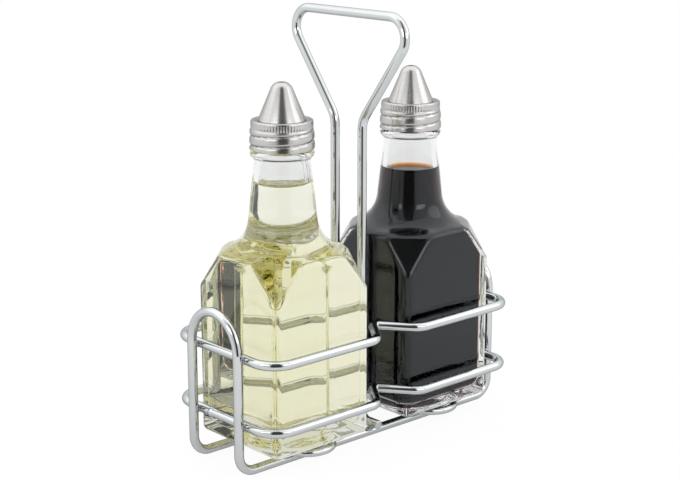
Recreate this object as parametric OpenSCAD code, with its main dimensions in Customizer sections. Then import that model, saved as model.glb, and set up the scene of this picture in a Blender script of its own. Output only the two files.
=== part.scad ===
// Cruet set: two square glass bottles with conical screw caps in a welded wire rack.
// Millimetres, +Z up. X runs along the rack, Y from front to back.
// The origin is on the table, under the middle of the rack.

/* [Wire rack] */
// Diameter of the rack wire
wire_d = 4.2; // [3.6:0.2:5]
// Diameter of the thinner wire of the rest loops
loop_wire_d = 3.4; // [3:0.2:4.2]
// How far crossing wires sink into each other at a weld
weld_set = 0.3; // [0.1:0.1:0.5]
// Distance between the centrelines of the two end hoops
hoop_span = 155; // [150:1:170]
// Distance between the centrelines of the two runners
runner_gap = 32; // [28:1:38]
// Centreline radius where a runner turns up into its hoop
runner_bend = 8; // [6:1:12]
// Height of the top of an end hoop
hoop_height = 73; // [66:1:80]
// Height of the lower ring
lower_ring_z = 23; // [20:1:28]
// Height of the upper ring
upper_ring_z = 53; // [48:1:58]
// Outside width of a ring
ring_width = 72; // [70:1:80]
// Centreline radius of a ring's outer corners
ring_corner = 11; // [8:1:14]
// How deep each ring is pinched in at the waist
waist_depth = 16; // [12:1:18]
// Centreline half width of a rest loop
loop_half = 11.5; // [9:0.5:13]
// Distance from the middle plane to the tip of a rest loop
loop_reach = 28.5; // [25:0.5:30]

/* [Handle] */
// Height of the top of the handle
handle_top = 195; // [185:1:210]
// Distance between the handle's two legs, at their centrelines
leg_gap = 18; // [14:1:20]
// Height at which the legs start to spread
spread_z = 145.5; // [142:0.5:152]
// Centreline radius of the handle's top corners
grip_bend = 9; // [7:1:11]
// How far each foot of the handle reaches past its runner
foot_past = 5; // [3:0.5:7]

/* [Bottles] */
// Width of a bottle across its flats
bottle_side = 54; // [52:0.5:56]
// Distance from the middle of the rack to the middle of a bottle
bottle_x = 38.7; // [38:0.1:39]
// Radius of a bottle's upright edges
edge_r = 2.6; // [2:0.2:5]
// Thickness of the glass
glass = 2.8; // [2:0.2:4]
// Height of the lowest point of a corner facet above the bottle's foot
facet_tip = 68; // [62:0.2:72]
// Width of a corner facet along each flat, at its top
facet_cut = 12; // [8:0.5:14]
// Height of the shoulder where it meets the neck
shoulder_h = 89.6; // [86:0.2:94]
// Radius of the neck at the foot of its taper
neck_low_r = 16.2; // [15:0.1:17]
// Radius of the neck under its bead
neck_top_r = 12.2; // [11.6:0.1:13]
// Height of the mouth of a bottle
mouth_h = 140.4; // [137:0.2:144]
// Height of the oil above the foot of its bottle
oil_level = 114; // [60:1:120]
// Height of the vinegar above the foot of its bottle
vinegar_level = 110; // [60:1:120]

/* [Caps] */
// Height of a cap's skirt
skirt_h = 12.5; // [12:0.1:14]
// Height of the cone above the skirt
cone_h = 16.3; // [15:0.1:17]
// Radius of the cone at its foot
cone_r = 10.4; // [10.2:0.1:10.8]
// How much the cone's radius shrinks for each millimetre of height
cone_taper = 0.42; // [0.38:0.01:0.42]
// Radius of the rounded tip of the cone
tip_r = 4.5; // [3.5:0.1:4.5]
// Thickness of the pressed steel
steel = 0.6; // [0.4:0.1:0.8]
// Diameter of the pouring hole
pour_d = 2.8; // [2:0.2:4]

/* [Hidden] */
$fn = 64;

chrome_colour = "gainsboro";
steel_colour = "silver";
glass_colour = [0.80, 0.88, 0.84, 0.35];
oil_colour = [0.90, 0.88, 0.55];
vinegar_colour = [0.16, 0.08, 0.05];
gasket_colour = "whitesmoke";

// Heights of the wires that lie across the runners, and of the bottles that stand on them
runner_z = wire_d / 2;
foot_z = runner_z + wire_d - weld_set;
loop_z = runner_z + wire_d / 2 + loop_wire_d / 2 - weld_set;
seat_gap = 0.1;
bottle_z = loop_z + loop_wire_d / 2 + seat_gap;

// Slanted wires lie along the hypotenuse of a 3-4-5 triangle
slant_run = 3 / 4;
// Bends of the rings' waist, and the half width of its tip
mouth_bend = 4;
tip_bend = 2.5;
waist_tip = 1.25;
// Bends of the handle's legs
foot_bend = 5;
spread_bend = 12;

// Roof slope of the shoulder, and the roundings along the flats and round the foot of the glass
roof_slope = 0.6;
roof_r = 17.8;
brow_r = 4;
heel_r = 2.5;
facet_rise = 14.5;
// The glass floor: its thickness at the walls, how far it rises inside, and the push-up underneath
floor_h = 4;
floor_rise = 3;
pushup_r = 19;
pushup_h = 2.5;
// Bead under the cap, the plain finish inside the cap, and the bore of the mouth
bead_r = 14.1;
bead_half = 1.75;
bead_gap = 0.4;
finish_r = 11.9;
mouth_bore_r = 8.9;
// Sweep of the shoulder up into the neck, and how far under the roof it starts
flare_r = 15.5;
flare_sink = 0.15;
// The liquid stands a hair inside the glass
liquid_gap = 0.05;
// Thread rolls and gripping band of a cap
roll_h = 4.2;
groove_h = 0.3;
groove_r = 13.3;
lower_roll_r = 14.3;
upper_roll_r = 14;
band_r = 13.6;
band_round = 0.8;
// Gasket, and the gap above and below it
gasket_h = 1.2;
gasket_r = 12.1;
rest_gap = 0.1;
skirt_z = mouth_h + rest_gap + gasket_h + rest_gap + steel - skirt_h;
neck_taper_top = skirt_z - bead_gap - 2 * bead_half;

function unit(v) = v / norm(v);

// Points of an arc about a centre, from one angle to another
function arc(centre, r, from, to, steps) = [
    for (i = [0 : steps]) let (a = from + (to - from) * i / steps) centre + r * [cos(a), sin(a)]
];

// The point at given distances from the origin along two directions
function meet(n1, d1, n2, d2) = let (det = n1[0] * n2[1] - n1[1] * n2[0])
    [(d1 * n2[1] - d2 * n1[1]) / det, (n1[0] * d2 - n2[0] * d1) / det];

// A straight length of wire from one point to another
module rod(from, to, d) {
    along = unit(to - from);
    side = abs(along[2]) < 0.9 ? unit(cross([0, 0, 1], along)) : [1, 0, 0];
    up = cross(along, side);
    multmatrix([
        [side[0], up[0], along[0], from[0]],
        [side[1], up[1], along[1], from[1]],
        [side[2], up[2], along[2], from[2]],
        [0, 0, 0, 1]
    ]) cylinder(d = d, h = norm(to - from));
}

// How far the wire turns at corner b, and how much of each straight the bend takes
function turn(a, b, c) = acos(unit(b - a) * unit(c - b));
function bend_cut(a, b, c, r) = r * tan(turn(a, b, c) / 2);

// A bend of centreline radius r at corner b: a quarter turn and what is left over, where it turns further
module bend(a, b, c, r, d) {
    into = unit(b - a);
    out = unit(c - b);
    angle = turn(a, b, c);
    outward = -unit(out - into * (out * into));
    centre = b - into * bend_cut(a, b, c, r) - outward * r;
    axis = cross(outward, into);
    multmatrix([
        [outward[0], into[0], axis[0], centre[0]],
        [outward[1], into[1], axis[1], centre[1]],
        [outward[2], into[2], axis[2], centre[2]],
        [0, 0, 0, 1]
    ]) {
        rotate_extrude(angle = min(angle, 90)) translate([r, 0]) circle(d = d);
        if (angle > 90)
            rotate([0, 0, 90]) rotate_extrude(angle = angle - 90) translate([r, 0]) circle(d = d);
    }
}

// A wire bent along a path of [corner, bend radius] pairs
module bent_wire(path, d, closed = false) {
    n = len(path);
    function corner(i) = path[(i + n) % n][0];
    function radius(i) = path[(i + n) % n][1];
    function is_bent(i) = closed || (i > 0 && i < n - 1);
    function cut(i) = is_bent(i) ? bend_cut(corner(i - 1), corner(i), corner(i + 1), radius(i)) : 0;
    for (i = [0 : n - 1]) {
        if (is_bent(i)) bend(corner(i - 1), corner(i), corner(i + 1), radius(i), d);
        if (closed || i < n - 1) {
            along = unit(corner(i + 1) - corner(i));
            start = corner(i) + along * cut(i);
            end = corner(i + 1) - along * cut((i + 1) % n);
            if (norm(end - start) > 0.01) rod(start, end, d);
        }
    }
}

// The base: two runners that turn up at both ends into round-topped hoops, one closed wire
module base_wire() {
    x = hoop_span / 2;
    y = runner_gap / 2;
    top = hoop_height - wire_d / 2;
    color(chrome_colour) bent_wire([
        [[-x, -y, runner_z], runner_bend],
        [[x, -y, runner_z], runner_bend],
        [[x, -y, top], y],
        [[x, y, top], y],
        [[x, y, runner_z], runner_bend],
        [[-x, y, runner_z], runner_bend],
        [[-x, y, top], y],
        [[-x, -y, top], y]
    ], wire_d, closed = true);
}

// A ring round both bottles, welded inside the hoops and pinched to a V at each side of its waist
module ring(z) {
    x = hoop_span / 2 - wire_d + weld_set;
    y = (ring_width - wire_d) / 2;
    waist = y - waist_depth;
    mouth = waist_tip + waist_depth * slant_run;
    color(chrome_colour) bent_wire([
        [[-x, -y, z], ring_corner],
        [[-mouth, -y, z], mouth_bend],
        [[-waist_tip, -waist, z], tip_bend],
        [[waist_tip, -waist, z], tip_bend],
        [[mouth, -y, z], mouth_bend],
        [[x, -y, z], ring_corner],
        [[x, y, z], ring_corner],
        [[mouth, y, z], mouth_bend],
        [[waist_tip, waist, z], tip_bend],
        [[-waist_tip, waist, z], tip_bend],
        [[-mouth, y, z], mouth_bend],
        [[-x, y, z], ring_corner]
    ], wire_d, closed = true);
}

module lower_ring() { ring(lower_ring_z); }
module upper_ring() { ring(upper_ring_z); }

// The handle: feet across the runners, two legs, and a keystone grip
module handle() {
    leg = leg_gap / 2;
    foot = runner_gap / 2 + foot_past;
    bar = handle_top - wire_d / 2;
    grip = leg + (bar - spread_z) * slant_run;
    color(chrome_colour) bent_wire([
        [[0, -foot, foot_z], 0],
        [[0, -leg, foot_z], foot_bend],
        [[0, -leg, spread_z], spread_bend],
        [[0, -grip, bar], grip_bend],
        [[0, grip, bar], grip_bend],
        [[0, leg, spread_z], spread_bend],
        [[0, leg, foot_z], foot_bend],
        [[0, foot, foot_z], 0]
    ], wire_d);
}

// An oval loop across both runners, for one bottle to stand on
module rest_loop(x) {
    y = loop_reach - loop_wire_d / 2;
    color(chrome_colour) bent_wire([
        [[x - loop_half, -y, loop_z], loop_half],
        [[x + loop_half, -y, loop_z], loop_half],
        [[x + loop_half, y, loop_z], loop_half],
        [[x - loop_half, y, loop_z], loop_half]
    ], loop_wire_d, closed = true);
}

module oil_rest_loop() { rest_loop(-bottle_x); }
module vinegar_rest_loop() { rest_loop(bottle_x); }

// A square with rounded corners
module rounded_square(side, r) {
    square([side, side - 2 * r], center = true);
    square([side - 2 * r, side], center = true);
    for (sx = [-1, 1], sy = [-1, 1]) translate([sx, sy] * (side / 2 - r)) circle(r);
}

// An outline given for x above zero, mirrored and extruded through the bottle
module cross_prism(half) {
    outline = concat(half, [for (i = [len(half) - 1 : -1 : 0]) [-half[i][0], half[i][1]]]);
    rotate([90, 0, 0]) linear_extrude(2 * bottle_side, center = true) polygon(outline);
}

// The square body up to its shoulder, with faceted corners, drawn in all round by inset
module bottle_body(inset) {
    half = bottle_side / 2 - inset;
    edge = max(edge_r - inset, 2);
    brow = max(brow_r - inset, 1.5);
    heel = max(heel_r - inset, 1);
    low = inset > 0 ? floor_h - heel : 0;
    roof_n = unit([roof_slope, 1]);
    roof_d = roof_n * [roof_r, shoulder_h] - inset;
    diagonal = bottle_side / sqrt(2);
    facet_n = unit([facet_rise, facet_cut / sqrt(2)]);
    facet_d = facet_n * [diagonal, facet_tip] - inset;
    flat_c = meet([1, 0], half - brow, roof_n, roof_d - brow);
    facet_c = meet(facet_n, facet_d - brow, roof_n, roof_d - brow);
    roof_a = atan2(roof_n[1], roof_n[0]);
    facet_a = atan2(facet_n[1], facet_n[0]);
    ridge = [0, roof_d / roof_n[1]];
    flats = concat(
        arc([half - heel, low + heel], heel, -90, 0, 3), arc(flat_c, brow, 0, roof_a, 4), [ridge]);
    facets = concat(
        [[diagonal, low], meet([1, 0], diagonal, facet_n, facet_d)],
        arc(facet_c, brow, facet_a, roof_a, 3), [ridge]);
    intersection() {
        linear_extrude(shoulder_h + bottle_side) rounded_square(2 * half, edge);
        cross_prism(flats);
        rotate([0, 0, 90]) cross_prism(flats);
        rotate([0, 0, 45]) cross_prism(facets);
        rotate([0, 0, 135]) cross_prism(facets);
    }
}

// Outline of the neck, from the shoulder up to a given height, drawn in by inset
function neck_outline(inset, top) = let (
    slope_n = unit([neck_taper_top - shoulder_h, neck_low_r - neck_top_r]),
    taper_d = slope_n * [neck_low_r, shoulder_h] - inset,
    roof_n = unit([roof_slope, 1]),
    roof_d = roof_n * [roof_r, shoulder_h] - inset - flare_sink,
    flare = flare_r + inset,
    centre = meet(slope_n, taper_d + flare, roof_n, roof_d + flare),
    roof_a = 180 + atan2(roof_n[1], roof_n[0]),
    taper_a = 180 + atan2(slope_n[1], slope_n[0]),
    skirt = centre + flare * [cos(roof_a), sin(roof_a)],
    buried = 1.5,
    sunk = [skirt[0] + buried, skirt[1] - buried * roof_slope]
) concat(
    [[0, shoulder_h - roof_r], [sunk[0], shoulder_h - roof_r], sunk],
    arc(centre, flare, roof_a, taper_a, 8),
    [[(taper_d - slope_n[1] * top) / slope_n[0], top], [0, top]]
);

// The outside of a bottle: body, tapered neck, bead and plain finish for the cap
module bottle_outside() {
    bottle_body(0);
    rotate_extrude() polygon(neck_outline(0, neck_taper_top + bead_half));
    bead_z = neck_taper_top + bead_half;
    rotate_extrude() union() {
        translate([bead_r - bead_half, bead_z]) circle(bead_half);
        translate([0, bead_z - bead_half]) square([bead_r - bead_half, 2 * bead_half]);
        translate([0, bead_z]) square([finish_r, mouth_h - bead_z]);
    }
}

// The hollow of a bottle, drawn in by gap and filled up to a level
module bottle_hollow(gap, level) {
    inset = glass + gap;
    dome_r = (bottle_side * bottle_side / 4 + floor_rise * floor_rise) / (2 * floor_rise);
    intersection() {
        union() {
            difference() {
                bottle_body(inset);
                translate([0, 0, floor_h + floor_rise + gap - dome_r]) sphere(dome_r);
            }
            rotate_extrude() polygon(neck_outline(inset, neck_taper_top));
            translate([0, 0, neck_taper_top - 1]) cylinder(r = mouth_bore_r - gap, h = mouth_h);
        }
        cylinder(r = bottle_side, h = level);
    }
}

module bottle() {
    pushup_sphere = (pushup_r * pushup_r + pushup_h * pushup_h) / (2 * pushup_h);
    color(glass_colour) difference() {
        bottle_outside();
        bottle_hollow(0, mouth_h + 1);
        translate([0, 0, pushup_h - pushup_sphere]) sphere(pushup_sphere);
    }
}

module at_bottle(x) { translate([x, 0, bottle_z]) children(); }
module oil_bottle() { at_bottle(-bottle_x) bottle(); }
module vinegar_bottle() { at_bottle(bottle_x) bottle(); }
module oil() { color(oil_colour) at_bottle(-bottle_x) bottle_hollow(liquid_gap, oil_level); }
module vinegar() { color(vinegar_colour) at_bottle(bottle_x) bottle_hollow(liquid_gap, vinegar_level); }

// One thread roll of a cap, from its lower groove up to its upper one
function roll(z, r) = [
    for (i = [0 : 6]) [groove_r + (r - groove_r) * sin(180 * i / 6), z + (roll_h - groove_h) * i / 6]
];

// Outline of a cap's skirt from its lip up: two thread rolls and the gripping band
function skirt_outline() = concat(
    roll(0, lower_roll_r),
    roll(roll_h, upper_roll_r),
    [[band_r, 2 * roll_h], [band_r, skirt_h - band_round], [band_r - band_round, skirt_h]]
);

// The cone with its rounded tip, standing on the skirt and drawn in by inset
module cone_solid(inset) {
    slope_n = unit([1, cone_taper]);
    side_d = slope_n * [cone_r, skirt_h] - inset;
    r = tip_r - inset;
    centre = [0, skirt_h + cone_h - tip_r];
    side_c = meet([0, 1], centre[1], slope_n, side_d - r);
    foot = (side_d - slope_n[1] * (skirt_h - steel)) / slope_n[0];
    tip_a = atan2(slope_n[1], slope_n[0]);
    rotate_extrude() polygon(concat(
        [[0, skirt_h - steel], [foot, skirt_h - steel]], arc(side_c, r, tip_a, 90, 5), [[0, side_c[1] + r]]));
}

// A pressed steel screw cap: skirt, flat shoulder, hollow cone and pouring hole
module cap() {
    color(steel_colour) difference() {
        union() {
            rotate_extrude() polygon(concat([[0, 0]], skirt_outline(), [[0, skirt_h]]));
            cone_solid(0);
        }
        rotate_extrude() polygon(concat(
            [[0, -1], [skirt_outline()[0][0] - steel, -1]],
            [for (p = skirt_outline()) [p[0] - steel, min(p[1], skirt_h - steel)]],
            [[0, skirt_h - steel]]));
        cone_solid(steel);
        translate([0, 0, skirt_h]) cylinder(d = pour_d, h = cone_h + 1);
    }
}

// A flat ring that seals the cap on the mouth of its bottle
module gasket() {
    color(gasket_colour) translate([0, 0, mouth_h + rest_gap]) difference() {
        cylinder(r = gasket_r, h = gasket_h);
        translate([0, 0, -1]) cylinder(r = mouth_bore_r, h = gasket_h + 2);
    }
}

module oil_cap() { at_bottle(-bottle_x) translate([0, 0, skirt_z]) cap(); }
module vinegar_cap() { at_bottle(bottle_x) translate([0, 0, skirt_z]) cap(); }
module oil_cap_gasket() { at_bottle(-bottle_x) gasket(); }
module vinegar_cap_gasket() { at_bottle(bottle_x) gasket(); }

base_wire();
lower_ring();
upper_ring();
handle();
oil_rest_loop();
vinegar_rest_loop();
oil_bottle();
oil();
oil_cap_gasket();
oil_cap();
vinegar_bottle();
vinegar();
vinegar_cap_gasket();
vinegar_cap();
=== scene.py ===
"""Looks of the cruet set: pressed glass bottles, liquids, steel caps and a chromed wire rack."""

import math

import bmesh
import bpy
from mathutils import Matrix, Vector


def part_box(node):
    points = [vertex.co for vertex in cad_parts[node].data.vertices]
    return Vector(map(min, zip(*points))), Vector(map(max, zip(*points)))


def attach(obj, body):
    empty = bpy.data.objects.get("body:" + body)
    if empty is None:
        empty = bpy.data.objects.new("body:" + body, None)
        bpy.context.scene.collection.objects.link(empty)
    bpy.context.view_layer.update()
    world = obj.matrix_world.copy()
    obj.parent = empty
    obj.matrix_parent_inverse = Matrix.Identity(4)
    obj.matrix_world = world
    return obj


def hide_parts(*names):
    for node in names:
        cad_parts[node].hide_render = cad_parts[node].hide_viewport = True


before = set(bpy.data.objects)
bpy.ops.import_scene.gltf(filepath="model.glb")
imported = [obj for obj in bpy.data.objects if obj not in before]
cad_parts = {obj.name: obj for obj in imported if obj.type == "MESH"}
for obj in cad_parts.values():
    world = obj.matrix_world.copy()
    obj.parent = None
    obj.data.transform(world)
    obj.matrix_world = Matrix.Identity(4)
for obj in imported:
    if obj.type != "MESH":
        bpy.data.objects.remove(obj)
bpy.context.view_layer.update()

MM = 0.001
UP = Vector((0, 0, 1))


# Drawing


def spaced(low, high, count):
    """Evenly spaced values with both limits among them."""
    return [low + (high - low) * i / (count - 1) for i in range(count)]


def smooth_step(value, low, high):
    """0 below low, 1 above high, and a smooth rise between."""
    t = min(max((value - low) / (high - low), 0), 1)
    return t * t * (3 - 2 * t)


def polar(radius, angle):
    """A point of a flat drawing by its radius and angle."""
    return Vector((radius * math.cos(angle), radius * math.sin(angle)))


def profile_line(facing, point):
    """A straight line of a profile: the way it faces, and its distance from the origin."""
    normal = Vector(facing).normalized()
    return normal, normal.dot(Vector(point))


def moved_in(line, depth):
    """A line moved back from the way it faces."""
    return line[0], line[1] - depth


def radius_at(line, z):
    """How far from the axis a line lies at a height."""
    normal, distance = line
    return (distance - normal.y * z) / normal.x


def facing_angle(line):
    """The angle above level at which a line faces."""
    return math.atan2(line[0].y, line[0].x)


def meet(first, second):
    """Where two lines cross."""
    (n1, d1), (n2, d2) = first, second
    det = n1.x * n2.y - n1.y * n2.x
    return Vector(((d1 * n2.y - d2 * n1.y) / det, (n1.x * d2 - n2.x * d1) / det))


def middle_of(node):
    """The middle of a node's box."""
    low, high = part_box(node)
    return (low + high) / 2


# Pieces


def edges_within(verts):
    """The edges whose two ends are both among the given vertices."""
    inside = set(verts)
    around = dict.fromkeys(e for v in verts for e in v.link_edges)
    return [e for e in around if inside.issuperset(e.verts)]


def only_verts(geometry):
    """The vertices among what an operator made."""
    return [g for g in geometry if isinstance(g, bmesh.types.BMVert)]


def extruded(bm, ring):
    """Extrude a ring of vertices where it is, and return the new ring."""
    return only_verts(bmesh.ops.extrude_edge_only(bm, edges=edges_within(ring))["geom"])


def spin_outline(bm, points, centre, axis, steps, closed=False):
    """Join points with edges and spin them full round an axis."""
    verts = [bm.verts.new(p) for p in points]
    for a, b in zip(verts, verts[1:], strict=False):
        bm.edges.new((a, b))
    if closed:
        bm.edges.new((verts[-1], verts[0]))
    bmesh.ops.spin(
        bm,
        geom=bm.verts[:] + bm.edges[:],
        cent=centre,
        axis=axis,
        angle=math.tau,
        steps=steps,
        use_merge=True,
        use_duplicate=False,
    )


def add_to_scene(name, data):
    """A new object of the scene that holds a mesh, a lamp or a camera."""
    made = bpy.data.objects.new(name, data)
    bpy.context.scene.collection.objects.link(made)
    return made


def add_mesh(name, bm, materials):
    """Turn a bmesh into an object of the scene."""
    mesh = bpy.data.meshes.new(name)
    bm.to_mesh(mesh)
    bm.free()
    for material in materials:
        mesh.materials.append(material)
    return add_to_scene(name, mesh)


def add_piece(name, bm, body, materials, stands_for=(), crease=math.radians(40)):
    """Turn a bmesh into a smooth piece that rides on a body."""
    touching = 0.001 * MM
    bmesh.ops.remove_doubles(bm, verts=bm.verts, dist=touching)
    bmesh.ops.dissolve_degenerate(bm, edges=bm.edges, dist=touching)
    bmesh.ops.recalc_face_normals(bm, faces=bm.faces)
    piece = add_mesh(name, bm, materials)
    piece.data.shade_smooth()
    piece.data.set_sharp_from_angle(angle=crease)
    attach(piece, body)
    if stands_for:
        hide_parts(*stands_for)
    return piece


# Nodes


def node_maker(tree):
    """A helper that adds nodes to a tree, sets their values and links their inputs."""

    def node(kind, links=(), **values):
        made = tree.nodes.new(kind)
        for key, value in values.items():
            if key in made.inputs:
                made.inputs[key].default_value = value
            else:
                setattr(made, key, value)
        for socket, source in links:
            tree.links.new(source, made.inputs[socket])
        return made

    return node


def new_material(name, fixed):
    """A material with fixed shader values, and helpers that add nodes and link them to the shader."""
    material = bpy.data.materials.new(name)
    material.use_nodes = True
    tree = material.node_tree
    shader = tree.nodes["Principled BSDF"]
    for socket, value in fixed.items():
        shader.inputs[socket].default_value = value

    def link(source, socket):
        tree.links.new(source, shader.inputs[socket])

    return material, node_maker(tree), link


def worked_out(node, operation, *values):
    """The result of one sum on values that are numbers or other nodes' outputs."""
    made = node("ShaderNodeMath", operation=operation)
    for socket, value in zip(made.inputs, values, strict=False):
        if isinstance(value, bpy.types.NodeSocket):
            made.id_data.links.new(value, socket)
        else:
            socket.default_value = value
    return made.outputs["Value"]


def object_place(node):
    """The place on the piece, in its own coordinates."""
    return node("ShaderNodeTexCoord").outputs["Object"]


def object_noise(node, scale, detail=3, stretch=(1, 1, 1)):
    """Noise on the piece's own coordinates, in cycles per metre."""
    spread = node("ShaderNodeMapping", [("Vector", object_place(node))], Scale=stretch)
    noise = node("ShaderNodeTexNoise", [("Vector", spread.outputs["Vector"])], Scale=scale, Detail=detail)
    return noise.outputs["Fac"]


def ranged(node, source, low, high):
    """A value between 0 and 1 spread between two limits."""
    limits = {"To Min": low, "To Max": high}
    return node("ShaderNodeMapRange", [("Value", source)], **limits).outputs["Result"]


def eased(node, source, start, end, low, high):
    """A value that goes smoothly from low to high while its source goes from start to end."""
    limits = {"From Min": start, "From Max": end, "To Min": low, "To Max": high}
    made = node("ShaderNodeMapRange", [("Value", source)], interpolation_type="SMOOTHSTEP", **limits)
    return made.outputs["Result"]


def mottled(node, link, share, dark, light):
    """Let the shader's colour wander between two."""
    mix = node("ShaderNodeMix", [("Factor", share)], data_type="RGBA")
    mix.inputs["A"].default_value = (*dark, 1)
    mix.inputs["B"].default_value = (*light, 1)
    link(mix.outputs["Result"], "Base Color")


def bumped(node, link, height, strength, distance):
    """Roughen the shader's normal by a height."""
    bump = node("ShaderNodeBump", [("Height", height)], Strength=strength, Distance=distance)
    link(bump.outputs["Normal"], "Normal")


# Materials

# The face layer that says how far a liquid's faces bend light
bending_layer = "bending"
glass_bending = 1.5
oil_bending = 1.47
vinegar_bending = 1.31


def chrome_plate():
    """Bright plating over drawn wire: a mirror with faint ripples and haze, darker along its outline."""
    fixed = {"Metallic": 1, "Specular Tint": (0.44, 0.475, 0.49, 1)}
    material, node, link = new_material("chrome_plate", fixed)
    haze = object_noise(node, scale=90)
    ripples = object_noise(node, scale=260, detail=2)
    mottled(node, link, haze, dark=(0.595, 0.612, 0.618), light=(0.675, 0.692, 0.698))
    link(ranged(node, haze, low=0.02, high=0.07), "Roughness")
    bumped(node, link, ripples, strength=0.02, distance=0.1 * MM)
    return material


def weld_metal():
    """Plated weld: duller and lumpier than the wire."""
    material, node, link = new_material("weld_metal", {"Metallic": 1})
    lumps = object_noise(node, scale=900, detail=4)
    mottled(node, link, lumps, dark=(0.34, 0.34, 0.35), light=(0.62, 0.62, 0.63))
    link(ranged(node, lumps, low=0.15, high=0.35), "Roughness")
    bumped(node, link, lumps, strength=0.6, distance=0.4 * MM)
    return material


def spun_steel(name, axis_x):
    """Satin stainless steel polished on a lathe: fine rings about the cap's axis."""
    fixed = {
        "Metallic": 1,
        "Specular Tint": (0.5, 0.5, 0.49, 1),
        "Anisotropic": 0.6,
        "Anisotropic Rotation": 0.25,
    }
    material, node, link = new_material(name, fixed)
    centred = node("ShaderNodeMapping", [("Vector", object_place(node))], Location=(-axis_x, 0, 0))
    parts = node("ShaderNodeSeparateXYZ", [("Vector", centred.outputs["Vector"])]).outputs
    flat = node("ShaderNodeCombineXYZ", [("X", parts["X"]), ("Y", parts["Y"])])
    radius = node("ShaderNodeVectorMath", [("Vector", flat.outputs["Vector"])], operation="LENGTH")
    around = node("ShaderNodeCombineXYZ", [("X", radius.outputs["Value"]), ("Y", parts["Z"])])
    turned = node("ShaderNodeTexNoise", [("Vector", around.outputs["Vector"])], Scale=2600, Detail=4)
    streaks = turned.outputs["Fac"]
    smears = object_noise(node, scale=120)
    mottled(node, link, streaks, dark=(0.495, 0.489, 0.479), light=(0.615, 0.607, 0.595))
    link(ranged(node, smears, low=0.20, high=0.30), "Roughness")
    link(node("ShaderNodeTangent", direction_type="RADIAL", axis="Z").outputs["Tangent"], "Tangent")
    bumped(node, link, streaks, strength=0.08, distance=0.05 * MM)
    return material


def pressed_glass():
    """Clear pressed glass, a little wavy from the mould."""
    fixed = {
        "Base Color": (0.889, 0.897, 0.896, 1),
        "Roughness": 0,
        "IOR": glass_bending,
        "Specular Tint": (0.88, 0.93, 1, 1),
        "Transmission Weight": 1,
    }
    material, node, link = new_material("pressed_glass", fixed)
    heights = object_noise(node, scale=70, detail=1.5)
    flow_lines = object_noise(node, scale=190, detail=1, stretch=(1, 1, 0.12))
    ripples = object_noise(node, scale=420, detail=1, stretch=(0.35, 0.35, 1))
    for layer, share in ((flow_lines, 0.35), (ripples, 0.1)):
        heights = worked_out(node, "ADD", heights, worked_out(node, "MULTIPLY", layer, share))
    bumped(node, link, heights, strength=0.06, distance=0.8 * MM)
    return material


def wetted_glass():
    """The inside of the glass under a liquid, left clear because the liquid's own faces bend the light."""
    return new_material("wetted_glass", {"Alpha": 0})[0]


def liquid(name, colour, density):
    """A liquid coloured by its depth, which bends light as its faces say."""
    fixed = {"Base Color": (1, 1, 1, 1), "Roughness": 0, "Transmission Weight": 1}
    material, node, link = new_material(name, fixed)
    link(node("ShaderNodeAttribute", attribute_name=bending_layer).outputs["Fac"], "IOR")
    depth = node("ShaderNodeVolumeAbsorption", Color=(*colour, 1), Density=density)
    tree = material.node_tree
    tree.links.new(depth.outputs["Volume"], tree.nodes["Material Output"].inputs["Volume"])
    return material


def soft_gasket():
    """Matte sealing rubber."""
    material, node, link = new_material("soft_gasket", {"Roughness": 0.6})
    grain = object_noise(node, scale=500)
    mottled(node, link, grain, dark=(0.74, 0.74, 0.71), light=(0.86, 0.86, 0.83))
    bumped(node, link, grain, strength=0.15, distance=0.1 * MM)
    return material


chrome = chrome_plate()
weld = weld_metal()
glass = pressed_glass()
wet_glass = wetted_glass()
oil_look = liquid("salad_oil", colour=(0.83, 0.79, 0.24), density=11)
vinegar_look = liquid("dark_vinegar", colour=(0.89, 0.64, 0.15), density=2600)
rubber = soft_gasket()


# Bent wire

rings = ("lower_ring", "upper_ring")
rest_loops = ("oil_rest_loop", "vinegar_rest_loop")
wire_low, wire_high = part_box("base_wire")
handle_low, handle_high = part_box("handle")
loop_low, loop_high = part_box("oil_rest_loop")
wire_r = (handle_high.x - handle_low.x) / 2
loop_r = (loop_high.z - loop_low.z) / 2
hoop_x = wire_high.x - wire_r
hoop_z = wire_high.z - wire_r
runner_y = wire_high.y - wire_r
runner_z = wire_low.z + wire_r
runner_top = runner_z + wire_r
# How far the slants of the waists and of the grip run sideways for their depth and rise
slant_run = 0.75
end_bevel = 0.5 * MM
shortest_straight = 0.01 * MM
wire_sides = 20
degrees_per_step = 5


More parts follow.
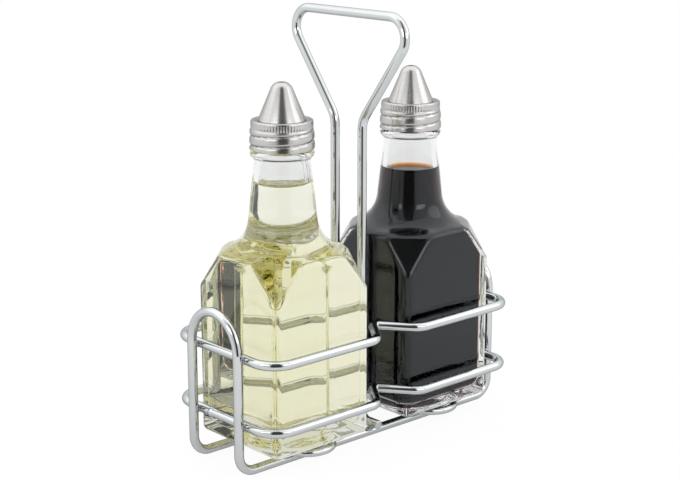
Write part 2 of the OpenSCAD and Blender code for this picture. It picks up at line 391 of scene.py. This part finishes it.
def bent_wire(bm, path, radius, closed):
    """Sweep a round section along corners, each given with its bend radius."""
    count = len(path)

    def corner(i):
        return path[i % count][0]

    def heading(i):
        """Direction of the straight that follows a corner."""
        return (corner(i + 1) - corner(i)).normalized()

    def bend_at(i):
        """A corner's turn, its axis, its radius, and how much of each straight it takes."""
        turn = heading(i - 1).angle(heading(i))
        bend = path[i % count][1]
        return turn, heading(i - 1).cross(heading(i)).normalized(), bend, bend * math.tan(turn / 2)

    at = corner(0)
    if closed:
        at = at + heading(0) * bend_at(0)[3]
    place = Matrix.Translation(at) @ heading(0).to_track_quat("Z", "Y").to_matrix().to_4x4()
    ring = bmesh.ops.create_circle(
        bm, segments=wire_sides, radius=radius, cap_ends=not closed, matrix=place
    )["verts"]
    for i in range(count if closed else count - 1):
        end = corner(i + 1)
        bent = closed or i + 1 < count - 1
        if bent:
            turn, axis, bend, cut = bend_at(i + 1)
            end = end - heading(i) * cut
        if (end - at).length > shortest_straight:
            ring = extruded(bm, ring)
            bmesh.ops.translate(bm, verts=ring, vec=end - at)
        at = end
        if bent:
            centre = end + axis.cross(heading(i)) * bend
            made = bmesh.ops.spin(
                bm,
                geom=ring + edges_within(ring),
                cent=centre,
                axis=axis,
                angle=turn,
                steps=max(3, round(math.degrees(turn) / degrees_per_step)),
                use_duplicate=False,
            )
            ring = only_verts(made["geom_last"])
            at = centre + Matrix.Rotation(turn, 3, axis) @ (end - centre)
    if not closed:
        bmesh.ops.contextual_create(bm, geom=edges_within(ring))


def with_half_turn(half, x=0):
    """Half a closed path, and the same half turned round the upright line at a place along the rack."""
    return half + [(Vector((2 * x - p.x, -p.y, p.z)), bend) for p, bend in half]


def base_path():
    """Two runners turned up at both ends into hoops, as one closed wire."""
    runner_bend = 8 * MM
    return with_half_turn(
        [
            (Vector((-hoop_x, -runner_y, runner_z)), runner_bend),
            (Vector((hoop_x, -runner_y, runner_z)), runner_bend),
            (Vector((hoop_x, -runner_y, hoop_z)), runner_y),
            (Vector((hoop_x, runner_y, hoop_z)), runner_y),
        ]
    )


def ring_path(node):
    """A ring round both bottles, pinched in at its waist."""
    corner_bend, mouth_bend, tip_bend = 11 * MM, 8 * MM, 2.5 * MM
    waist_depth, waist_tip = 16 * MM, 1.25 * MM
    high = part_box(node)[1]
    x = high.x - wire_r
    y = high.y - wire_r
    z = middle_of(node).z
    mouth = waist_tip + waist_depth * slant_run
    tip_y = y - waist_depth
    return with_half_turn(
        [
            (Vector((-x, -y, z)), corner_bend),
            (Vector((-mouth, -y, z)), mouth_bend),
            (Vector((-waist_tip, -tip_y, z)), tip_bend),
            (Vector((waist_tip, -tip_y, z)), tip_bend),
            (Vector((mouth, -y, z)), mouth_bend),
            (Vector((x, -y, z)), corner_bend),
        ]
    )


def handle_path():
    """Feet across the runners, two legs and a keystone grip."""
    leg, spread_z, foot_overhang = 9 * MM, 145.5 * MM, 5 * MM
    foot_bend, spread_bend, grip_bend = 5 * MM, 12 * MM, 9 * MM
    foot_z = handle_low.z + wire_r
    bar = handle_high.z - wire_r
    grip = leg + (bar - spread_z) * slant_run
    half = [
        (Vector((0, -runner_y - foot_overhang, foot_z)), 0),
        (Vector((0, -leg, foot_z)), foot_bend),
        (Vector((0, -leg, spread_z)), spread_bend),
        (Vector((0, -grip, bar)), grip_bend),
    ]
    return half + [(Vector((0, -p.y, p.z)), bend) for p, bend in reversed(half)]


def loop_path(node):
    """An oval loop across the runners."""
    low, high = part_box(node)
    x, _, z = middle_of(node)
    y = high.y - loop_r
    half = (high.x - low.x) / 2 - loop_r
    return with_half_turn([(Vector((x - half, -y, z)), half), (Vector((x + half, -y, z)), half)], x)


def add_wire(node, path, radius, closed=True):
    """One wire of the rack in place of its node."""
    bm = bmesh.new()
    bent_wire(bm, path, radius, closed)
    if not closed:
        rims = [e for e in bm.edges if any(len(f.verts) > 4 for f in e.link_faces)]
        bmesh.ops.bevel(
            bm, geom=rims, offset=end_bevel, affect="EDGES", segments=3, profile=0.5, material=-1
        )
    add_piece(node + "_wire", bm, "rack", [chrome], [node])


add_wire("base_wire", base_path(), wire_r)
for ring in rings:
    add_wire(ring, ring_path(ring), wire_r)
add_wire("handle", handle_path(), wire_r, closed=False)
for loop in rest_loops:
    add_wire(loop, loop_path(loop), loop_r)


# Welds


def weld_spot(bm, place, size):
    """A small nugget where two wires meet."""
    fit = Matrix.Translation(place) @ Matrix.Diagonal((*size, 1))
    bmesh.ops.create_icosphere(bm, subdivisions=3, radius=1, matrix=fit)


def add_welds():
    """Nuggets where the rings meet the hoops and where loops and feet cross the runners."""
    ring_weld = (0.7 * MM, 2 * MM, 2 * MM)
    loop_weld = (1.7 * MM, 1.7 * MM, 0.6 * MM)
    foot_weld = (2 * MM, 2 * MM, 0.7 * MM)
    hoop_face = hoop_x - wire_r
    bm = bmesh.new()
    for y in (-runner_y, runner_y):
        for ring in rings:
            for x in (-hoop_face, hoop_face):
                weld_spot(bm, (x, y, middle_of(ring).z), ring_weld)
        for loop in rest_loops:
            low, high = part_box(loop)
            for x in (low.x + loop_r, high.x - loop_r):
                weld_spot(bm, (x, y, runner_top), loop_weld)
        weld_spot(bm, (0, y, runner_top), foot_weld)
    add_piece("rack_welds", bm, "rack", [weld])


def add_butt_weld():
    """The ring of metal where the lower ring's wire is closed on itself."""
    half_width, bulge, sunk, off_middle = 1.4 * MM, 0.35 * MM, 0.05 * MM, 7 * MM
    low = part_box("lower_ring")[0]
    place = Vector((low.x + wire_r, off_middle, middle_of("lower_ring").z))
    outline = []
    for a in spaced(0, math.pi, 7):
        outline.append(place + Vector((0, -half_width * math.cos(a), wire_r - sunk + bulge * math.sin(a))))
    bm = bmesh.new()
    spin_outline(bm, outline, place, (0, 1, 0), steps=24)
    add_piece("lower_ring_butt_weld", bm, "rack", [chrome])


add_welds()
add_butt_weld()


# Bottles

bottle_low, bottle_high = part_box("oil_bottle")
side = bottle_high.x - bottle_low.x
height = bottle_high.z - bottle_low.z
wall = 2.8 * MM
# Roundings of the outside and of the hollow
edge_r = 3.2 * MM
facet_edge_r = 5 * MM
brow_r = 4 * MM
heel_r = 2.5 * MM
inner_edge_r = 4 * MM
inner_brow_r = 1.2 * MM
inner_heel_r = 5 * MM
# Facets, roof and neck
facet_tip = 66 * MM
facet_lean = 0.585
roof_slope = 0.6
roof_r = 17.8 * MM
roof_cut = 10 * MM
shoulder_h = 89.6 * MM
flare_r = 15.5 * MM
neck_low_r = 16.2 * MM
neck_top_r = 12.2 * MM
# Bead, finish and mouth
skirt_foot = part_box("oil_cap")[0].z - bottle_low.z
bead_half = 1.75 * MM
bead_r = 14.1 * MM
cap_gap = 0.4 * MM
bead_z = skirt_foot - cap_gap - bead_half
neck_top = bead_z - bead_half
mid_neck = neck_top - 12 * MM
bead_gap = 1.2 * MM
finish_low = bead_z + bead_half
finish_r = 11.9 * MM
bore_r = 8.9 * MM
lip_r = (finish_r - bore_r) / 2
finish_top = height - lip_r - 0.2 * MM
mouth_low = neck_top - 1 * MM
bore_low = mouth_low - 2 * MM
# Screw thread on the finish, and the share of a turn over which it runs out
thread_pitch = 4.2 * MM
thread_turns = 1.25
thread_rise = 0.45 * MM
thread_half = 1 * MM
thread_foot = finish_low + 2 * MM
thread_fade = 0.08
# Floor of the hollow, and the push-up under the foot
floor_h = 4 * MM
floor_rise = 3 * MM
floor_step = 0.8 * MM
floor_margin = 6 * MM
pushup_r = 19 * MM
pushup_h = 2.5 * MM
# Edge of the liquids, drawn up where they wet the glass
meniscus_h = 1.6 * MM
meniscus_w = 3 * MM
liquid_gap = 0.05 * MM
# Points along each flat, each rounding and each cut of a section, and sections over each dome
flat_steps = 7
arc_steps = 5
cut_steps = 3
dome_steps = 8
# The share of a corner's rounding that it takes off each flat
corner_share = 2 - math.sqrt(2)

flat_line = profile_line((1, 0), (side / 2, 0))
facet_line = profile_line((1, facet_lean), (side / math.sqrt(2), facet_tip))
roof_line = profile_line((roof_slope, 1), (roof_r, shoulder_h))
neck_line = profile_line((neck_top - shoulder_h, neck_low_r - neck_top_r), (neck_low_r, shoulder_h))


def octagon(half, cut, fillet):
    """Points round a square whose corners are cut and rounded."""
    cut = max(cut, corner_share * fillet)
    inner = half - fillet
    turn = half - cut - fillet * (math.sqrt(2) - 1)
    quarter = [Vector((half, y)) for y in spaced(-turn, turn, flat_steps + 2)[1:-1]]
    quarter += [Vector((inner, turn)) + polar(fillet, a) for a in spaced(0, math.pi / 4, arc_steps + 1)]
    start, end = quarter[-1], quarter[-1].yx
    quarter += [start.lerp(end, t) for t in spaced(0, 1, cut_steps + 2)[1:-1]]
    turns = spaced(math.pi / 4, math.pi / 2, arc_steps + 1)
    quarter += [Vector((turn, inner)) + polar(fillet, a) for a in turns]
    return [Matrix.Rotation(math.pi / 2 * q, 2) @ p for q in range(4) for p in quarter]


# Directions of a section's points, which the round sections share with those of the roof
columns = [math.atan2(p.y, p.x) for p in octagon(side / 2 - brow_r, roof_cut, facet_edge_r)]


def brow_arc(line, inset):
    """Middle and radius of the rounding where a wall meets the roof."""
    brow = max(brow_r - inset, inner_brow_r)
    return meet(moved_in(line, inset + brow), moved_in(roof_line, inset + brow)), brow


def reach_under_roof(line, inset, z):
    """How far a wall reaches out at a height, rounded where it meets the roof."""
    centre, brow = brow_arc(line, inset)
    if z <= centre.y + brow * line[0].y:
        return radius_at(moved_in(line, inset), z)
    if z >= centre.y + brow * roof_line[0].y:
        return radius_at(moved_in(roof_line, inset), z)
    return centre.x + math.sqrt(brow * brow - (z - centre.y) ** 2)


def body_ring(inset, z, drawn_in=0):
    """A section of the body inside its glass by inset, and drawn in further by a rounding."""
    half = reach_under_roof(flat_line, inset, z) - drawn_in
    across_facet = reach_under_roof(facet_line, inset, z) - drawn_in
    edge, facet_edge = (inner_edge_r, inner_edge_r) if inset else (edge_r, facet_edge_r)
    cut = max((half * math.sqrt(2) - across_facet) * math.sqrt(2), corner_share * edge)
    fillet = min(facet_edge, cut / corner_share)
    return [Vector((p.x, p.y, z)) for p in octagon(half, cut, max(fillet, edge))]


def round_ring(radius, z):
    """A round section."""
    return [Vector((*polar(radius, a), z)) for a in columns]


def neck_ring(inset, z):
    """A round section of the neck's taper."""
    return round_ring(radius_at(moved_in(neck_line, inset), z), z)


def mixed_rings(start, end, steps):
    """Sections that turn evenly from one into another, without the two themselves."""
    shares = spaced(0, 1, steps + 1)[1:-1]
    return [[a.lerp(b, t) for a, b in zip(start, end, strict=True)] for t in shares]


def arc_rings(centre, radius, start, end, steps):
    """Round sections along an arc of the profile, between two angles in degrees."""
    turns = [math.radians(a) for a in spaced(start, end, steps)]
    return [round_ring(*(centre + polar(radius, a))) for a in turns]


def flare_rings(inset):
    """Round sections along the curve from the roof into the neck."""
    centre = meet(moved_in(roof_line, -flare_r), moved_in(neck_line, -flare_r))
    turns = spaced(facing_angle(roof_line), facing_angle(neck_line), 12)
    return [round_ring(*(centre - polar(flare_r + inset, a))) for a in turns]


def wall_rings(inset, low):
    """Sections of the body from above its heel up the facets, the brow, the roof and the flare."""
    centre, brow = brow_arc(flat_line, inset)
    brow_low, brow_high = centre.y - 0.4 * MM, centre.y + brow * roof_line[0].y
    tip_low, tip_high = facet_tip - 1 * MM, facet_tip + 4 * MM
    flat_low, flat_high = low + 12 * MM, tip_low - 13 * MM
    heights = [low, flat_low, flat_high]
    heights += spaced(tip_low, tip_high, 8)
    heights += spaced(tip_high + 2 * MM, brow_low, 5)
    heights += spaced(brow_low, brow_high, 10)[1:]
    body = [body_ring(inset, z) for z in heights]
    flare = flare_rings(inset)
    return body + mixed_rings(body[-1], flare[0], 5) + flare


def heel_rings(inset, low, radius):
    """The rounding from the underside or the floor up into the wall."""
    turns = [math.radians(a) for a in spaced(0, 75, 6)]
    return [body_ring(inset, low + radius * (1 - math.cos(a)), radius * (1 - math.sin(a))) for a in turns]


def dome_rings(radius, low, rise):
    """A shallow dome from its middle out, rising over a low rim."""
    sphere = (radius * radius + rise * rise) / (2 * rise)
    reaches = spaced(0, radius, dome_steps + 1)[1:]
    return [round_ring(r, low + rise - sphere + math.sqrt(sphere * sphere - r * r)) for r in reaches]


def thread_swell(z, angle):
    """How far the screw thread stands out of the finish."""
    swell = 0
    for lap in (0, 1):
        along = angle / math.tau % 1 + lap
        fade = min(1, along / thread_fade, max(0, thread_turns - along) / thread_fade)
        off = (z - thread_foot - along * thread_pitch) / thread_half
        swell = max(swell, thread_rise * fade * (1 - off * off))
    return swell


def finish_ring(z):
    """A section of the finish under the cap, with its screw thread."""
    return [Vector((*polar(finish_r + thread_swell(z, a), a), z)) for a in columns]


def outside_rings():
    """The outside of a bottle from the middle of its push-up to the inner edge of its lip."""
    heels = heel_rings(0, 0, heel_r)
    made = dome_rings(pushup_r, 0, pushup_h)
    made += mixed_rings(made[-1], heels[0], 3) + heels + wall_rings(0, heel_r)
    made += [neck_ring(0, z) for z in (mid_neck, neck_top - bead_gap)]
    made += arc_rings(Vector((bead_r - bead_half, bead_z)), bead_half, -75, 75, 9)
    made += [finish_ring(z) for z in spaced(finish_low, finish_top, 24)]
    return made + arc_rings(Vector((finish_r - lip_r, height - lip_r)), lip_r, 0, 180, 9)


def inside_rings(inset):
    """The hollow of the bottle from the middle of its floor up to the foot of its neck."""
    dome = dome_rings(side / 2 - inset - floor_margin, floor_h + floor_step, floor_rise - floor_step)
    heels = heel_rings(inset, floor_h, inner_heel_r)
    return dome + mixed_rings(dome[-1], heels[0], 3) + heels + wall_rings(inset, floor_h + inner_heel_r)


def loft(bm, sections):
    """Extrude one ring through a row of sections, close both ends, and return each band's faces."""
    count = len(sections[0])
    column = bm.verts.layers.int.new("column")
    disc = bmesh.ops.create_circle(bm, segments=count, radius=side, cap_ends=True, cap_tris=True)["verts"]
    ring = [v for v in disc if len(v.link_edges) == 3]
    hub = [v for v in disc if len(v.link_edges) > 3]
    for i, vert in enumerate(ring):
        vert[column] = i
        vert.co = sections[0][i]
    for vert in hub:
        vert.co = sum(sections[0], Vector()) / count
    bands = [list(bm.faces)]
    for points in sections[1:]:
        ring = extruded(bm, ring)
        for vert in ring:
            vert.co = points[vert[column]]
        bands.append({f for v in ring for f in v.link_faces})
    cap = bmesh.ops.contextual_create(bm, geom=edges_within(ring))["faces"]
    bands.append(bmesh.ops.poke(bm, faces=cap)["faces"])
    return bands


def put_at_bottle(bm, x):
    """Move a piece made about a bottle's foot to that bottle's place."""
    bmesh.ops.translate(bm, verts=bm.verts, vec=Vector((x, 0, bottle_low.z)))


def keep_flats_flat(piece):
    """Let the large faces set the shading where they meet a rounding."""
    even = piece.modifiers.new("even_flats", "WEIGHTED_NORMAL")
    even.keep_sharp = True
    even.weight = 100


def contact_height(fill):
    """Height above the foot at which a liquid's edge meets the glass."""
    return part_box(fill)[1].z - bottle_low.z + meniscus_h


def add_bottle(name, x, fill):
    """One bottle: the outside and the neck down to the liquid, then the wetted inside down to the floor."""
    dry = outside_rings() + [round_ring(bore_r, mouth_low)]
    dry += [neck_ring(wall, z) for z in (bore_low, contact_height(fill))]
    bm = bmesh.new()
    bands = loft(bm, dry + list(reversed(inside_rings(wall))))
    for faces in bands[len(dry):]:
        for face in faces:
            face.material_index = 1
    put_at_bottle(bm, x)
    keep_flats_flat(add_piece(name + "_glass", bm, name, [glass, wet_glass], [name]))


def add_liquid(name, body, x, look, bending):
    """The liquid, close to the glass, with its edge drawn up where it wets the neck."""
    inset = wall + liquid_gap
    contact = contact_height(name)
    rim = radius_at(moved_in(neck_line, inset), contact)
    walls = inside_rings(inset) + [round_ring(rim, contact)]
    surface = []
    for share in spaced(0, 1, 7)[1:]:
        surface.append(round_ring(rim - meniscus_w * share, contact - meniscus_h * (1 - (1 - share) ** 2)))
    bm = bmesh.new()
    bends = bm.faces.layers.float.new(bending_layer)
    for i, faces in enumerate(loft(bm, walls + surface)):
        for face in faces:
            face[bends] = bending if i >= len(walls) else bending / glass_bending
    put_at_bottle(bm, x)
    keep_flats_flat(add_piece(name + "_fill", bm, body, [look], [name]))


oil_x = middle_of("oil_bottle").x
vinegar_x = -oil_x
add_bottle("oil_bottle", oil_x, "oil")
add_bottle("vinegar_bottle", vinegar_x, "vinegar")
add_liquid("oil", "oil_bottle", oil_x, oil_look, oil_bending)
add_liquid("vinegar", "vinegar_bottle", vinegar_x, vinegar_look, vinegar_bending)


# Caps

cap_low, cap_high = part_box("oil_cap")
cap_h = cap_high.z - cap_low.z
steel = 0.6 * MM
# Cone and its pouring hole
cone_r = 10.4 * MM
cone_taper = 0.42
tip_r = 4.5 * MM
pour_r = 1.4 * MM
pour_edge = 0.25 * MM
pour_round = 0.1 * MM
# Skirt, with the roll that grips the thread and the rolled lip at its foot
skirt_h = 12.5 * MM
skirt_steps = 64
groove_r = 13.35 * MM
lower_roll = 0.9 * MM
upper_roll = 0.65 * MM
roll_top = 2 * thread_pitch
roll_fullness = 4
lip_roll = 0.55 * MM
lip_low = 0.5 * MM
lip_high = 1.2 * MM
# Notched band, rounded over at its top
band_r = 13.6 * MM
band_round = 0.8 * MM
band_blend = 0.3 * MM
notches = 60
notch_steps = 6
notch_depth = 0.35 * MM
notch_low = 9.1 * MM
notch_high = 11.4 * MM
notch_foot = 0.8 * MM
notch_head_share = 0.45


def skirt_radius(z, angle):
    """Outside radius of the skirt: a thread roll that climbs to the right, and a notched band."""
    turn = (z / thread_pitch - angle / math.tau) % 1
    roll = lower_roll + (upper_roll - lower_roll) * z / roll_top
    swell = roll * (1 - abs(2 * turn - 1) ** roll_fullness)
    swell = max(swell, lip_roll * (1 - smooth_step(z, lip_low, lip_high)))
    band = smooth_step(z, roll_top - band_blend, roll_top + band_blend)
    radius = (groove_r + swell) * (1 - band) + band_r * band
    foot = 1 - smooth_step(z, notch_low, notch_low + notch_foot)
    depth = notch_depth * (notch_head_share + (1 - notch_head_share) * foot)
    depth *= smooth_step(z, notch_low - band_blend, notch_low)
    depth *= 1 - smooth_step(z, notch_high, notch_high + band_blend)
    return radius - depth * max(math.cos(angle * notches), 0) ** 3


def cap_profile():
    """Radii and heights from the lip up the outside, over the cone, and down the inside."""
    band_turn = Vector((band_r - band_round, skirt_h - band_round))
    outside = [Vector((groove_r, z)) for z in spaced(0, band_turn.y, skirt_steps)]
    outside += [band_turn + polar(band_round, a) for a in spaced(0, math.pi / 2, 5)[1:]]
    foot_groove = [(1.1, 0), (0.5, -0.5), (0.05, -0.5), (-0.25, 0.5)]
    outside += [Vector((cone_r + out * MM, skirt_h + rise * MM)) for out, rise in foot_groove]
    cone_line = profile_line((1, cone_taper), (cone_r, skirt_h))
    tip = meet(profile_line((0, 1), (0, cap_h - tip_r)), moved_in(cone_line, tip_r))
    inside = []
    for a in spaced(facing_angle(cone_line), math.pi / 2, 11):
        if tip.x + tip_r * math.cos(a) > pour_r + pour_edge:
            outside.append(tip + polar(tip_r, a))
            inside.insert(0, tip + polar(tip_r - steel, a))
    top = outside[-1].y
    outside.append(Vector((pour_r, top - pour_round)))
    inside.insert(0, Vector((pour_r, top - steel)))
    inside.append(Vector((cone_r - steel, skirt_h - steel)))
    inside.append(Vector((band_r - 2 * steel, skirt_h - steel)))
    inside.append(Vector((groove_r - steel, skirt_h - 2 * steel)))
    inside.append(Vector((groove_r - steel, 0)))
    return outside + inside


def add_cap(name, x):
    """A pressed steel cap: spun from its profile, then rolled to the thread."""
    slack = 0.01 * MM
    outline = [Vector((p.x, 0, p.y)) for p in cap_profile()]
    bm = bmesh.new()
    spin_outline(bm, outline, (0, 0, 0), UP, steps=notches * notch_steps, closed=True)
    for vert in bm.verts:
        reach = vert.co.xy.length
        if vert.co.z < skirt_h - band_round + slack and reach > groove_r - slack:
            vert.co.xy *= skirt_radius(vert.co.z, math.atan2(vert.co.y, vert.co.x)) / reach
    bmesh.ops.translate(bm, verts=bm.verts, vec=Vector((x, 0, cap_low.z)))
    look = spun_steel(name + "_steel", x)
    add_piece(name + "_shell", bm, name, [look], [name], crease=math.radians(60))


add_cap("oil_cap", oil_x)
add_cap("vinegar_cap", vinegar_x)
for gasket in ("oil_cap_gasket", "vinegar_cap_gasket"):
    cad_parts[gasket].data.materials.clear()
    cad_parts[gasket].data.materials.append(rubber)


# Studio

view_azimuth = math.radians(41.928)
view_elevation = math.radians(14.265)
camera_place = Vector((-455.3, -501.2, 261.8)) * MM
focal_pixels = 1534.2
image_width = 680
forward = Vector((math.sin(view_azimuth), math.cos(view_azimuth), 0))
to_right = forward.cross(UP)
view_direction = forward * math.cos(view_elevation) - UP * math.sin(view_elevation)
lamp_height = 0.75
lamp_aim_height = 0.09
white = (1, 1, 1, 1)


def aimed(direction):
    """The turn that points a camera or a lamp in a direction."""
    return direction.to_track_quat("-Z", "Y").to_euler()


def add_camera():
    """The camera at the photograph's viewing angle."""
    lens = bpy.data.cameras.new("photo_camera")
    lens.sensor_width = 36
    lens.lens = focal_pixels / image_width * lens.sensor_width
    camera = add_to_scene("photo_camera", lens)
    camera.location = camera_place
    camera.rotation_euler = aimed(view_direction)
    bpy.context.scene.camera = camera


def seen_directly(node, through_glass=1, off_mirrors=1):
    """1 for rays from the camera, and given shares for those through glass and off mirrors."""
    path = node("ShaderNodeLightPath").outputs
    passed = path["Is Transmission Ray"]
    bounced = worked_out(node, "MULTIPLY", path["Is Glossy Ray"], worked_out(node, "SUBTRACT", 1, passed))
    through = worked_out(node, "MULTIPLY", passed, through_glass)
    mirrored = worked_out(node, "MULTIPLY", bounced, off_mirrors)
    return worked_out(node, "MAXIMUM", path["Is Camera Ray"], worked_out(node, "ADD", through, mirrored))


def under_the_rack(node):
    """Little light under the rack, and all of it beyond."""
    parts = node("ShaderNodeSeparateXYZ", [("Vector", object_place(node))]).outputs
    along = worked_out(node, "ABSOLUTE", worked_out(node, "DIVIDE", parts["X"], wire_high.x))
    across = worked_out(node, "ABSOLUTE", worked_out(node, "DIVIDE", parts["Y"], side / 2))
    off = worked_out(node, "MAXIMUM", along, across)
    return eased(node, off, start=0.75, end=1.35, low=0.3, high=1)


def behind_the_rack(node):
    """Less light on the floor close behind the rack, and all of it further off."""
    darkest = (0, 0.12, 0)
    off = node("ShaderNodeVectorMath", [(0, object_place(node))], operation="DISTANCE")
    off.inputs[1].default_value = darkest
    return eased(node, off.outputs["Value"], start=0.10, end=0.33, low=0.4, high=1)


def add_floor():
    """White paper that keeps a faint shadow, deeper where glass and metal look at the floor by the rack."""
    half_size, glow_share = 3, 0.9
    fixed = {"Base Color": (0.86, 0.86, 0.86, 1), "Roughness": 0.9, "Specular IOR Level": 0}
    material, node, _ = new_material("white_paper", fixed)
    tree = material.node_tree
    paper = tree.nodes["Principled BSDF"].outputs["BSDF"]
    glow = node("ShaderNodeEmission", Strength=1.05).outputs["Emission"]
    seen = seen_directly(node, under_the_rack(node), behind_the_rack(node))
    share = worked_out(node, "MULTIPLY", seen, glow_share)
    mix = node("ShaderNodeMixShader", [("Fac", share), (1, paper), (2, glow)])
    tree.links.new(mix.outputs["Shader"], tree.nodes["Material Output"].inputs["Surface"])
    bm = bmesh.new()
    bmesh.ops.create_grid(bm, x_segments=2, y_segments=2, size=half_size)
    add_mesh("paper_sweep", bm, [material])


def add_world():
    """A white room, brighter overhead in mirrors and dimmer above through glass, with soft even light."""
    world = bpy.data.worlds.new("white_room")
    bpy.context.scene.world = world
    world.use_nodes = True
    tree = world.node_tree
    node = node_maker(tree)
    soft = tree.nodes["Background"]
    soft.inputs["Color"].default_value = white
    soft.inputs["Strength"].default_value = 0.7
    direction = node("ShaderNodeTexCoord").outputs["Generated"]
    upward = node("ShaderNodeSeparateXYZ", [("Vector", direction)]).outputs["Z"]
    passed = node("ShaderNodeLightPath").outputs["Is Transmission Ray"]
    not_passed = worked_out(node, "SUBTRACT", 1, passed)
    in_mirrors = eased(node, upward, start=0.1, end=0.9, low=1, high=1.5)
    through_glass = eased(node, upward, start=0.05, end=0.25, low=1, high=0.82)
    mirrored = worked_out(node, "MULTIPLY", in_mirrors, not_passed)
    through = worked_out(node, "MULTIPLY", through_glass, passed)
    strength = worked_out(node, "ADD", mirrored, through)
    room = node("ShaderNodeBackground", [("Strength", strength)], Color=white)
    links = [("Fac", seen_directly(node)), (1, soft.outputs["Background"]), (2, room.outputs["Background"])]
    mix = node("ShaderNodeMixShader", links)
    tree.links.new(mix.outputs["Shader"], tree.nodes["World Output"].inputs["Surface"])


def add_softbox(name, to_the_right, width, depth, power):
    """A soft lamp above one side, not seen through the glass."""
    place = to_right * to_the_right + UP * lamp_height
    lamp = bpy.data.lights.new(name, "AREA")
    lamp.shape = "ELLIPSE"
    lamp.size = width
    lamp.size_y = depth
    lamp.energy = power
    box = add_to_scene(name, lamp)
    box.location = place
    box.rotation_euler = aimed(UP * lamp_aim_height - place)
    box.visible_transmission = False


def add_reflected_card(name, distance, across, upright, glow, rises=()):
    """A card by the camera that only mirrors show, with rises of brightness over its glow.

    Each rise has a direction, the places along it where it starts and ends, and its gain.
    """
    fixed = {
        "Base Color": (0, 0, 0, 1),
        "Specular IOR Level": 0,
        "Emission Color": white,
        "Emission Strength": glow,
    }
    material, node, link = new_material(name, fixed)
    strength = glow
    for direction, start, end, gain in rises:
        along = node("ShaderNodeVectorMath", [(0, object_place(node))], operation="DOT_PRODUCT")
        along.inputs[1].default_value = direction
        rise = eased(node, along.outputs["Value"], start, end, low=0, high=gain)
        strength = worked_out(node, "ADD", strength, rise)
        link(strength, "Emission Strength")
    (left, right), (low, high) = across, upright
    corners = [(left, low), (right, low), (right, high), (left, high)]
    bm = bmesh.new()
    bm.faces.new([bm.verts.new(to_right * x - forward * distance + UP * z) for x, z in corners])
    card = add_mesh(name, bm, [material])
    card.visible_camera = False
    card.visible_diffuse = False
    card.visible_transmission = False
    card.visible_shadow = False


add_camera()
add_floor()
add_world()
add_softbox("left_softbox", to_the_right=-1.2, width=1.4, depth=1.1, power=1)
add_softbox("right_softbox", to_the_right=1.2, width=1, depth=0.8, power=1.6)
room_rises = [
    (to_right, 0.080, 0.115, 0.75),
    (-to_right, 0.080, 0.115, 0.65),
    (to_right, 0.12, 0.30, 0.20),
    (-to_right, 0.12, 0.50, 0.30),
    (UP, 0.12, 0.60, 0.20),
    (UP, 0.36, 0.46, -0.12),
]
add_reflected_card("dim_room", 0.30, across=(-0.6, 0.6), upright=(0, 0.95), glow=0.05, rises=room_rises)
add_reflected_card("left_window", 0.29, across=(-0.42, -0.13), upright=(0.19, 0.30), glow=3)
add_reflected_card("right_window", 0.29, across=(0.13, 0.42), upright=(0.19, 0.30), glow=3)

bpy.context.scene.view_settings.view_transform = "Standard"
# Enough turns for light that is caught in the corners of the glass
light_paths = bpy.context.scene.cycles
light_paths.max_bounces = 40
light_paths.glossy_bounces = 32
light_paths.transmission_bounces = 32
light_paths.transparent_max_bounces = 48
